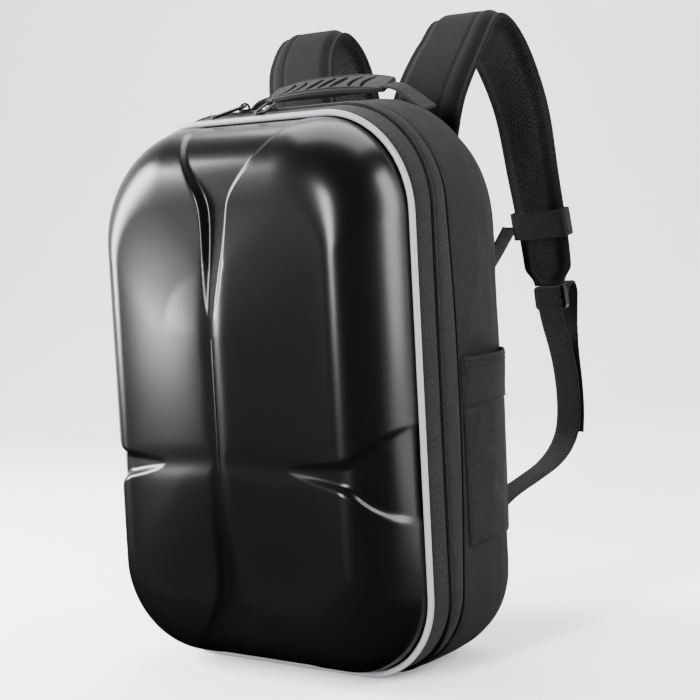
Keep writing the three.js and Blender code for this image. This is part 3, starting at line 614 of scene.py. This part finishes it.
# Columns: share from front to back, height above the loop.
TAPE_PROFILE = (
    (0, -3.0), (0, -1.2), (0.03, -0.3), (0.1, 0.25), (0.3, 0.5), (0.5, 0.55),
    (0.7, 0.5), (0.9, 0.25), (0.97, -0.3), (1, -1.2), (1, -3.0),
)


def band(front, back, name, node):
    """A tape from front(z) to back(z): a flat strip with rolled edges, its threads following the loop."""
    made = []
    for share, lift in TAPE_PROFILE:
        base = outline(*loop_shape(lift, COIL_LINE))
        y = front(base[:, 1]) + share * (back(base[:, 1]) - front(base[:, 1]))
        near, far = outline(*loop_shape(lift, 0)), outline(*loop_shape(lift, 50))
        mix = (y / 50)[:, None]
        xz = near + (far - near) * mix
        xz[:, 1] = np.maximum(xz[:, 1], 0.3)
        made.append(np.stack([xz[:, 0], y, xz[:, 1]], 1))
    piece = mesh_piece(name, np.array(made), materials=[TAPE])
    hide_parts(node)
    return piece


band(lambda z: 2.6 + 0 * z, lambda z: COIL_LINE - COIL_GAP + 0 * z, "front_tape", "zip_tape_front")
band(lambda z: COIL_LINE + COIL_GAP + 0 * z, lambda z: seam_depth(z) - 0.3, "rear_tape", "zip_tape_rear")


# The cloth body

def body_rows():
    """Rows of the body from its rolled front edge back, with a sewn ridge behind the seam."""
    table = np.vstack([(0, *SEAM_SECTION), BODY_SECTIONS])
    fine = np.linspace(0, len(table) - 1, 70)
    values = np.stack([np.interp(fine, np.arange(len(table)), table[:, k]) for k in range(5)], 1)
    for _ in range(3):
        values[1:-1] = (values[:-2] + 2 * values[1:-1] + values[2:]) / 4
    first = BODY_SECTIONS[0, 0]
    made = []
    for roll, back in ((-3.2, 1.6), (-1.4, 0.7), (-0.3, 0.9)):
        xz = outline(*inset(body_shape(*SEAM_SECTION), -roll, -roll, -roll))
        made.append(np.stack([xz[:, 0], seam_depth(xz[:, 1]) + back, xz[:, 1]], 1))
    for share, bulge, rise, inward, corner in values:
        xz = outline(*body_shape(bulge, rise, inward, corner))
        start = seam_depth(xz[:, 1]) + BODY_START
        mix = np.clip(share / first, 0, 1)
        y = np.where(share < first, start + (first * BODY_DEPTH - start) * mix, share * BODY_DEPTH)
        made.append(np.stack([xz[:, 0], y, xz[:, 1]], 1))
    last = body_shape(*BODY_SECTIONS[-1][1:])
    for shrink in (3, 8, 16, 30, 50, 75, 100, 120, 127):
        made.append(flat_ring(inset(last, shrink, shrink, 0.5 * shrink), BODY_DEPTH + 0.3))
    return np.array(made)


def crease(p, centre, direction, length, width):
    """A soft fold: one long bump along direction, fading with distance from centre."""
    d = np.asarray(direction, float)
    d /= np.linalg.norm(d)
    rel = p - np.asarray(centre, float)
    along = rel @ d
    off = np.linalg.norm(rel - along[..., None] * d, axis=-1)
    return np.exp(-((along / length) ** 2)) * np.exp(-((off / width) ** 2))


# Columns: centre, direction, length, width, height. Each is mirrored to the other side.
FOLDS = (
    ((150, 70, 300), (0.0, 0.4, 1), 45, 6, 1.2), ((150, 95, 340), (0.0, -0.5, 1), 40, 7, -1.2),
    ((150, 60, 95), (0.0, 1.0, 0.5), 22, 5, 1.0), ((150, 100, 80), (0.0, 1.0, -0.4), 20, 6, -1.0),
    ((120, 80, 440), (-1, 0.3, 0.6), 30, 6, -1.1), ((60, 115, 455), (1, 0.2, 0), 40, 6, -0.9),
)
grid = body_rows()
out = grid - (0, 90.0, 235.0)
out /= np.linalg.norm(out, axis=2)[..., None]
behind = grid[..., 1] - seam_depth(grid[..., 2])
held = smooth((behind - 2) / 12)[..., None] * smooth(grid[..., 2] / 14)[..., None]
swell = 0.7 * wobble(grid, 90, 4) + 0.3 * wobble(grid, 34, 9)
for place, direction, length, width, depth in FOLDS:
    for side in (1, -1):
        mirror = np.array([side, 1, 1])
        swell = swell + depth * crease(grid, mirror * place, mirror * direction, length, width)
grid = grid + out * swell[..., None] * held
grid[..., 2] = np.maximum(grid[..., 2], 0.0)
cloth_body = mesh_piece("cloth_body", grid, ends=True, materials=[BODY])
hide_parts("rear_body")

seam_line = outline(*body_shape(0.62, 0.67, 0, 3))
seam_points = np.stack([seam_line[:, 0], seam_depth(seam_line[:, 1]) + THREAD_SETBACK, seam_line[:, 1]], 1)
seam_run = spline(seam_points[COUNTS["bottom"]:-COUNTS["bottom"]], SEAM_POINTS)
seam_out = seam_run - (0, 0, 230)
seam_out[:, 1] = 0
seam_out /= np.linalg.norm(seam_out, axis=1)[:, None]
seam_count = int(path_length(seam_run) / STITCH_PITCH)
stitches("body_seam_thread", seam_run, np.array([
    np.interp(np.linspace(0, 1, seam_count), np.linspace(0, 1, SEAM_POINTS), seam_out[:, k])
    for k in range(3)
]).T, THREAD)


# The side pockets

# Columns as those of FOLDS.
POCKET_FOLDS = (
    ((160, 72, 175), (0, 1, -0.9), 26, 7, 1.5), ((160, 90, 150), (0, 1, -0.8), 24, 8, -1.7),
    ((160, 62, 200), (0, 0.3, 1), 20, 5, 1.2),
)


def pocket(side):
    """A side pocket: the body's side, bulged by a sine across, hemmed at its top and turned in there."""
    hand = "right" if side > 0 else "left"
    low, high, front, back = POCKET["low"], POCKET["high"], POCKET["front"] - 2, POCKET["back"] + 1
    levels = np.concatenate([np.linspace(0, 1, 70), [1.004, 1.002, 0.97, 0.9, 0.8, 0.7]])
    inner = np.array([0.0] * 70 + [0.5, 1.0, 1.0, 1.0, 1.0, 1.0])
    shares = np.linspace(0, 1, 60)
    hem = 1 - POCKET["hem"] / (high - low)
    made = []
    for level, inside in zip(levels, inner):
        y = front + shares * (back - front)
        z = low + level * (high - low) + 3.0 * shares
        bulge = POCKET["bulge"] * np.sin(math.pi * shares) ** 0.8 * min(level, 1) ** 0.7
        step = 0.9 * smooth((level - hem) / 0.012)
        lift = 0.8 + 1.6 * smooth(level / 0.02) * smooth(np.minimum(shares, 1 - shares) / 0.03)
        x = body_side(y) + bulge + lift + step - 1.9 * inside
        p = np.stack([x, y, z], 1)
        slack = sum(height * crease(p, *fold) for *fold, height in POCKET_FOLDS) + 0.8 * wobble(p, 45, 12)
        tuck = -0.8 * np.exp(-(((level - hem) * (high - low)) / 1.2) ** 2)
        loose = smooth(np.minimum(shares, 1 - shares) / 0.12) * min(1, level * 6) * (1 - inside)
        p[:, 0] += slack * loose + tuck
        p[:, 0] *= side
        made.append(p)
    piece = mesh_piece(f"pocket_{hand}", np.array(made), around=False, materials=[BODY])
    solid = piece.modifiers.new("wall", "SOLIDIFY")
    solid.thickness = 0.8 * MM
    solid.offset = -1
    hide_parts(f"side_pocket_{hand}")
    for drop in (3.0, 7.0, POCKET["hem"] - 3.0):
        level = 1 - drop / (high - low)
        y = np.linspace(front + 2, back - 2, 30)
        s = (y - front) / (back - front)
        x = body_side(y) + POCKET["bulge"] * np.sin(math.pi * s) ** 0.8 * level**0.7 + 3.4
        line = np.stack([side * (x + 0.5), y, low + level * (high - low) + 3.0 * s], 1)
        stitches(f"pocket_thread_{hand}_{int(drop)}", line, np.array([side, 0.0, 0.0]), THREAD)


# Straps, webbing and hardware

ALONG_X, ALONG_Y = np.array([1.0, 0, 0]), np.array([0, 1.0, 0])


def plate(name, outer, holes, depth, bevel, mat, place):
    """A flat moulded plate with holes: a filled curve with a rounded edge, bent and placed by place."""
    curve = bpy.data.curves.new(name, "CURVE")
    curve.dimensions = "2D"
    curve.fill_mode = "BOTH"
    curve.extrude = (depth / 2 - bevel) * MM
    curve.bevel_depth = bevel * MM
    curve.bevel_resolution = 3
    curve.offset = -bevel * MM
    for ring in [outer, *holes]:
        line = curve.splines.new("POLY")
        line.points.add(len(ring) - 1)
        flat = np.zeros((len(ring), 4))
        flat[:, :2] = np.asarray(ring) * MM
        flat[:, 3] = 1
        line.points.foreach_set("co", flat.ravel())
        line.use_cyclic_u = True
    temp = placed(name + "_outline", curve)
    bpy.context.view_layer.update()
    mesh = bpy.data.meshes.new_from_object(temp.evaluated_get(bpy.context.evaluated_depsgraph_get()))
    bpy.data.objects.remove(temp)
    bpy.data.curves.remove(curve)
    co = np.empty(3 * len(mesh.vertices))
    mesh.vertices.foreach_get("co", co)
    moved = (place(co.reshape(-1, 3) / MM) - (0, BASE_POINT, 0)) * MM
    mesh.vertices.foreach_set("co", moved.ravel())
    mesh.materials.clear()
    mesh.materials.append(mat)
    mesh.polygons.foreach_set("use_smooth", [False] * len(mesh.polygons))
    mesh.update()
    obj = placed(name, mesh)
    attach(obj, "root")
    return obj


def box_ring(width, height, corner, steps=6):
    """A rounded rectangle's outline, anticlockwise."""
    turn = np.linspace(0, math.pi / 2, steps)
    made = []
    for k, (sx, sy) in enumerate(((1, 1), (-1, 1), (-1, -1), (1, -1))):
        a = turn + k * math.pi / 2
        made.append(np.stack([
            sx * (width / 2 - corner) + corner * np.cos(a), sy * (height / 2 - corner) + corner * np.sin(a)
        ], 1))
    return np.concatenate(made)


def frame_at(route, share):
    """The row of a strap's route at a share of its length, and its direction there."""
    k = int(round(share * (len(route) - 1)))
    ahead = route[min(k + 1, len(route) - 1), :3] - route[max(k - 1, 0), :3]
    ahead = ahead / np.linalg.norm(ahead)
    return route[k], ahead


def strap(side):
    """One padded strap with its lock, webbing, tail, chest loop and slack chest webbing.

    Returns the y and z of the chest webbing's lowest point.
    """
    hand = "right" if side > 0 else "left"
    route = spline(on_back(STRAP_ROUTE, side), STRAP_ROWS)
    tip = fair((np.linspace(0, 1, STRAP_ROWS) - (1 - STRAP_TIP)) / STRAP_TIP)
    piece = sweep(
        route, (route[:, 3] + 1) * (1 - STRAP_TAPER * tip), lambda w, s: strap_section(w, s) * (side, -1),
        ALONG_X, f"padded_strap_{hand}", materials=[STRAP, MESH],
        faces_in=[0] * (STRAP_FACE + 2 * STRAP_EDGE) + [1] * STRAP_FACE,
    )
    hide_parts(f"shoulder_strap_{hand}")
    web = sweep(
        spline(on_back(WEB_ROUTE, side), WEB_ROWS), np.full(WEB_ROWS, WEB_WIDTH), web_section, ALONG_X,
        f"webbing_{hand}", materials=[WEBBING],
    )
    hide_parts(f"lower_webbing_{hand}")
    tail = sweep(
        spline(on_back(TAIL_ROUTE, side), TAIL_ROWS), np.full(TAIL_ROWS, WEB_WIDTH), web_section, ALONG_X,
        f"tail_{hand}", materials=[WEBBING],
    )
    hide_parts(f"webbing_tail_{hand}")
    end, ahead = frame_at(route, 1)
    wide = ALONG_X - ahead * ahead[0]
    wide /= np.linalg.norm(wide)
    face = np.cross(ahead, wide)
    centre = end[:3] + ahead * LOCK["ahead"]
    slots = [box_ring(*LOCK["slot"]) + (0, s * LOCK["bar"]) for s in (1, -1)]
    lock = plate(
        f"lock_{hand}", box_ring(*LOCK["plate"]), slots, LOCK["depth"], 0.9, HARDWARE,
        lambda p: centre + p[:, :1] * wide - p[:, 1:2] * ahead + p[:, 2:] * face,
    )
    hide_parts(f"ladder_lock_{hand}")
    place, ahead = frame_at(route, CHEST["at"])
    wide = ALONG_X - ahead * ahead[0]
    wide /= np.linalg.norm(wide)
    face = np.cross(ahead, wide)
    ring = box_ring(place[3] + 5.5, STRAP_THICKNESS + 5.0, 5.5, 10)
    section = web_section(WEB_WIDTH / 2)
    rows = []
    for k in range(len(ring)):
        nxt, prv = ring[(k + 1) % len(ring)], ring[k - 1]
        t = (nxt - prv) / np.linalg.norm(nxt - prv)
        n = np.array([t[1], -t[0]])
        rows.append(
            place[:3] + (ring[k, 0] * wide + ring[k, 1] * face)[None]
            + section[:, :1] * ahead + section[:, 1:] * (n[0] * wide + n[1] * face)[None]
        )
    loop = mesh_piece(f"chest_band_{hand}", np.array(rows), ring=True, materials=[WEBBING])
    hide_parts(f"chest_loop_{hand}")
    reach = abs(place[0]) - place[3] / 2 - 3.0 - 1.2
    level, sag, forward = CHEST["level"], CHEST["sag"], CHEST["forward"]
    x = np.linspace(CHEST["start"], reach, CHEST_ROWS)
    climb = np.clip((x - level) / (reach - 5 - level), 0, 1)
    fall = 1 - climb ** CHEST["curve"]
    chest = np.stack([side * x, place[1] - forward * fall, place[2] - 3 - sag * fall], 1)
    piece = sweep(
        spline(chest, CHEST_ROWS), np.full(CHEST_ROWS, WEB_WIDTH), web_section, ALONG_Y,
        f"chest_web_{hand}", materials=[WEBBING],
    )
    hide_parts(f"chest_webbing_{hand}")
    return place[1] - forward, place[2] - 3 - sag


def grip_place(p):
    """Bends the grip down towards its ends and tilts it about X."""
    tilt = math.radians(GRIP_TILT)
    y, z = p[:, 1], p[:, 2] + 2.0 - GRIP_ARCH * (p[:, 0] / GRIP_HALF) ** 2
    return np.stack([
        p[:, 0], GRIP_SET[0] + y * math.cos(tilt) - z * math.sin(tilt),
        GRIP_SET[1] + y * math.sin(tilt) + z * math.cos(tilt),
    ], 1)


def slot_ring(cx, lean, bow=0.0):
    """A slanted oval hole, or a crescent where bow is not 0."""
    turn = np.linspace(0, TAU, 24, endpoint=False)
    along = SLOT_HALF * np.sin(turn)
    across = 3.5 * np.cos(turn) * (1 - 0.35 * abs(bow) / 4)
    return np.stack([cx + across + lean * along + bow * (along / SLOT_HALF) ** 2, along], 1)


def handle():
    """The moulded grip with its seven slots, and the webbing from its ends down to the body's top."""
    share = np.linspace(-1, 1, 60)
    half = GRIP_BREADTH * (1 - 0.28 * share**4)
    low = np.stack([GRIP_HALF * share, -half], 1)
    outer = np.concatenate([low, (low * (1, -1))[::-1]])
    holes = [slot_ring(SLOT_PITCH * k, 0.45) for k in (-1, 0, 1)]
    holes += [slot_ring(s * x, 0.3, s * 4.0) for s in (1, -1) for x in CRESCENTS]
    grip = plate("grip", outer, holes, GRIP_DEPTH, 1.0, GRIP, grip_place)
    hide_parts("handle_grip")
    for side in (1, -1):
        hand = "right" if side > 0 else "left"
        tilt = math.radians(GRIP_TILT)
        level = GRIP_SET[1] - GRIP_ARCH * math.cos(tilt)
        shape = body_shape(*BODY_SECTIONS[2][1:])
        reach = HANDLE_FOOT[0] - (shape[0] - shape[3])
        seat = shape[1] - shape[3] + math.sqrt(shape[3] ** 2 - reach**2)
        points = np.array([
            (side * 60.0, 95.0, level + 2.0), (side * 74.0, 96.0, level - 1.0),
            (side * 86.0, 97.0, level - 9.0),
            (side * HANDLE_FOOT[0], HANDLE_FOOT[1], seat + 1.5),
        ])
        route = spline(points, HANDLE_ROWS)
        wide = np.array([0, math.cos(tilt / 2), math.sin(tilt / 2)])
        web = sweep(
            route, np.linspace(17, 21, HANDLE_ROWS), lambda w, s: web_section(w, s, 2.4), wide,
            f"handle_web_{hand}", materials=[WEBBING],
        )
        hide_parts(f"handle_webbing_{hand}")


def pull(hand):
    """A wire pull: a closed round-ended loop, turned to its heading and drooping over the piping."""
    x0, heading = PULLS[hand]
    r = PULL_WIDTH / 2 - PULL_WIRE / 2
    turn = np.linspace(math.pi / 2, 3 * math.pi / 2, 20)
    near = np.stack([r + r * np.cos(turn), r * np.sin(turn)], 1)
    far = np.stack([PULL_LENGTH - PULL_WIRE - r - r * np.cos(turn), -r * np.sin(turn)], 1)
    runs = [near, far]
    flat = np.concatenate([np.concatenate([
        run, run[-1] + (runs[(k + 1) % 2][0] - run[-1]) * np.linspace(0, 1, 14)[1:-1, None]
    ]) for k, run in enumerate(runs)])
    path = np.stack([flat[:, 0], np.zeros(len(flat)), flat[:, 1]], 1)
    rows = tube(path, PULL_WIRE / 2, 10)[..., [0, 2, 1]]
    droop, h = math.radians(PULL_DROOP), math.radians(heading - 90)
    x = rows[..., 0] * math.cos(droop) + rows[..., 2] * math.sin(droop)
    z = -rows[..., 0] * math.sin(droop) + rows[..., 2] * math.cos(droop)
    y = rows[..., 1]
    level = LOOP_TOP + TAPE_RISE + 1.6 + 0.3 + PULL_RIDE
    points = np.stack([
        x0 + x * math.cos(h) - y * math.sin(h), COIL_LINE + x * math.sin(h) + y * math.cos(h), level + z
    ], -1)
    piece = mesh_piece(f"wire_pull_{hand}", points, ring=True, materials=[ENAMEL], body=f"pull_{hand}")
    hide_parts(f"zip_pull_{hand}")


def back_pad():
    """The plain padded back: foam crowned between its bound edge and three sewn channels."""
    made = []
    for grow, lift in ((0, 0), (0, 1.8), (-1.2, 2.6), (-3.5, 2.2), (-5, 3.0)):
        shape = inset(PAD_SHAPE, -grow, -grow, 0)
        made.append(flat_ring(shape, BODY_DEPTH + 0.3 + lift))
    for shrink in np.concatenate([np.linspace(5.5, 16, 10), np.linspace(19, 103, 45)]):
        shape = inset(PAD_SHAPE, shrink, shrink, 0.35 * shrink)
        ring = flat_ring(shape, 0)
        foam = 3.0 + 7.6 * smooth((shrink - 5) / 13)
        channel = sum(np.exp(-(((ring[:, 2] - z) / 3.2) ** 2)) for z in PAD_CHANNELS)
        middle = np.exp(-((ring[:, 0] / 6.0) ** 2))
        ring[:, 1] = BODY_DEPTH + 0.3 + foam * (1 - 0.55 * np.clip(channel + 0.7 * middle, 0, 1))
        made.append(ring)
    piece = mesh_piece("back_padding", np.array(made), ends=True, materials=[MESH])
    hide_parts("back_pad")


for side in (1, -1):
    pocket(side)
    low_y, low_z = strap(side)
handle()
back_pad()
for hand in PULLS:
    pull(hand)
windows = [box_ring(*BUCKLE_WINDOW) + (s * 13, 0) for s in (1, -1)]
buckle = plate(
    "chest_clasp", box_ring(*BUCKLE_PLATE), windows, BUCKLE_DEPTH, 1.6, HARDWARE,
    lambda p: np.array([0, low_y, low_z]) + p,
)
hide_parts("chest_buckle")
for hand in PULLS:
    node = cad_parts[f"zip_slider_{hand}"]
    for k in range(len(node.material_slots)):
        node.material_slots[k].material = ENAMEL


# Floor, light and camera

floor_mesh = bpy.data.meshes.new("floor")
SIZE, WALL_AT, WALL_BEND = 6.0, 1.6, 1.2
turn = np.linspace(0, math.pi / 2, 24)
sweep_y = np.concatenate([[-SIZE], WALL_AT + WALL_BEND * np.sin(turn), [WALL_AT + WALL_BEND]])
sweep_z = np.concatenate([[0], WALL_BEND * (1 - np.cos(turn)), [SIZE]])
a, e = math.radians(AZIMUTH), math.radians(ELEVATION)
floor_points = [
    (x * math.cos(a) - y * math.sin(a), x * math.sin(a) + y * math.cos(a), z)
    for x in (-SIZE, SIZE) for y, z in zip(sweep_y, sweep_z)
]
across = len(sweep_y)
floor_mesh.from_pydata(
    floor_points, [], [(k, k + across, k + across + 1, k + 1) for k in range(across - 1)]
)
floor_mesh.polygons.foreach_set("use_smooth", [True] * (across - 1))
floor = placed("floor", floor_mesh)
paper, _, _ = material(
    "floor_paper", (0.92, 0.92, 0.92), 0.9, Specular_IOR_Level=0.1, Emission_Strength=0.14,
    Emission_Color=(1, 1, 1, 1),
)
floor_mesh.materials.append(paper)

# A black card on the floor before the shell, seen only in its gloss, as a studio's flag.
card_mesh = bpy.data.meshes.new("black_card")
card_points = [(x, y, 0.001) for x, y in ((-3, -4), (3, -4), (3, 0.3), (-3, 0.3))]
card_mesh.from_pydata(card_points, [], [(0, 1, 2, 3)])
card = placed("black_card", card_mesh)
card_black, _, _ = material("card_black", (0, 0, 0), 1.0, Specular_IOR_Level=0.0)
card_mesh.materials.append(card_black)
card.visible_camera = card.visible_diffuse = card.visible_shadow = card.visible_transmission = False

world = bpy.data.worlds.new("studio")
world.use_nodes = True
world.node_tree.nodes["Background"].inputs[0].default_value = (1, 1, 1, 1)
world.node_tree.nodes["Background"].inputs[1].default_value = 0.05
bpy.context.scene.world = world


def area_light(name, azimuth, height, distance, width, tall, power, look=(0, 0, 0.25)):
    """A soft panel at an azimuth measured as the camera's is, turned towards look."""
    a = math.radians(azimuth)
    light = bpy.data.lights.new(name, "AREA")
    light.shape = "RECTANGLE"
    light.size, light.size_y, light.energy = width, tall, power
    obj = placed(name, light)
    obj.location = (distance * math.sin(a), -distance * math.cos(a), height)
    obj.rotation_euler = (Vector(look) - obj.location).to_track_quat("-Z", "Y").to_euler()


# Columns: name, azimuth, height, distance, width, height of panel, power.
for row in (
    ("panel_left", -64, 0.75, 1.5, 0.5, 1.2, 150),
    ("panel_front", 5, 0.85, 1.9, 0.4, 1.2, 120),
    ("panel_right", 116, 0.8, 1.6, 0.5, 1.4, 62),
    ("panel_top", 205, 2.6, 0.9, 2.6, 2.0, 130),
):
    area_light(*row)

back = Vector((math.sin(a) * math.cos(e), -math.cos(a) * math.cos(e), math.sin(e)))
camera_data = bpy.data.cameras.new("camera")
camera_data.sensor_width = SENSOR
camera_data.lens = FOCAL / FRAME_PIXELS * SENSOR
camera = placed("camera", camera_data)
camera.location = (Vector(TARGET) + back * DISTANCE) * MM
turned = back.to_track_quat("Z", "Y")
camera.rotation_mode = "QUATERNION"
camera.rotation_quaternion = turned @ Quaternion((0, 0, 1), math.radians(ROLL))
bpy.context.scene.camera = camera

bpy.context.view_layer.update()
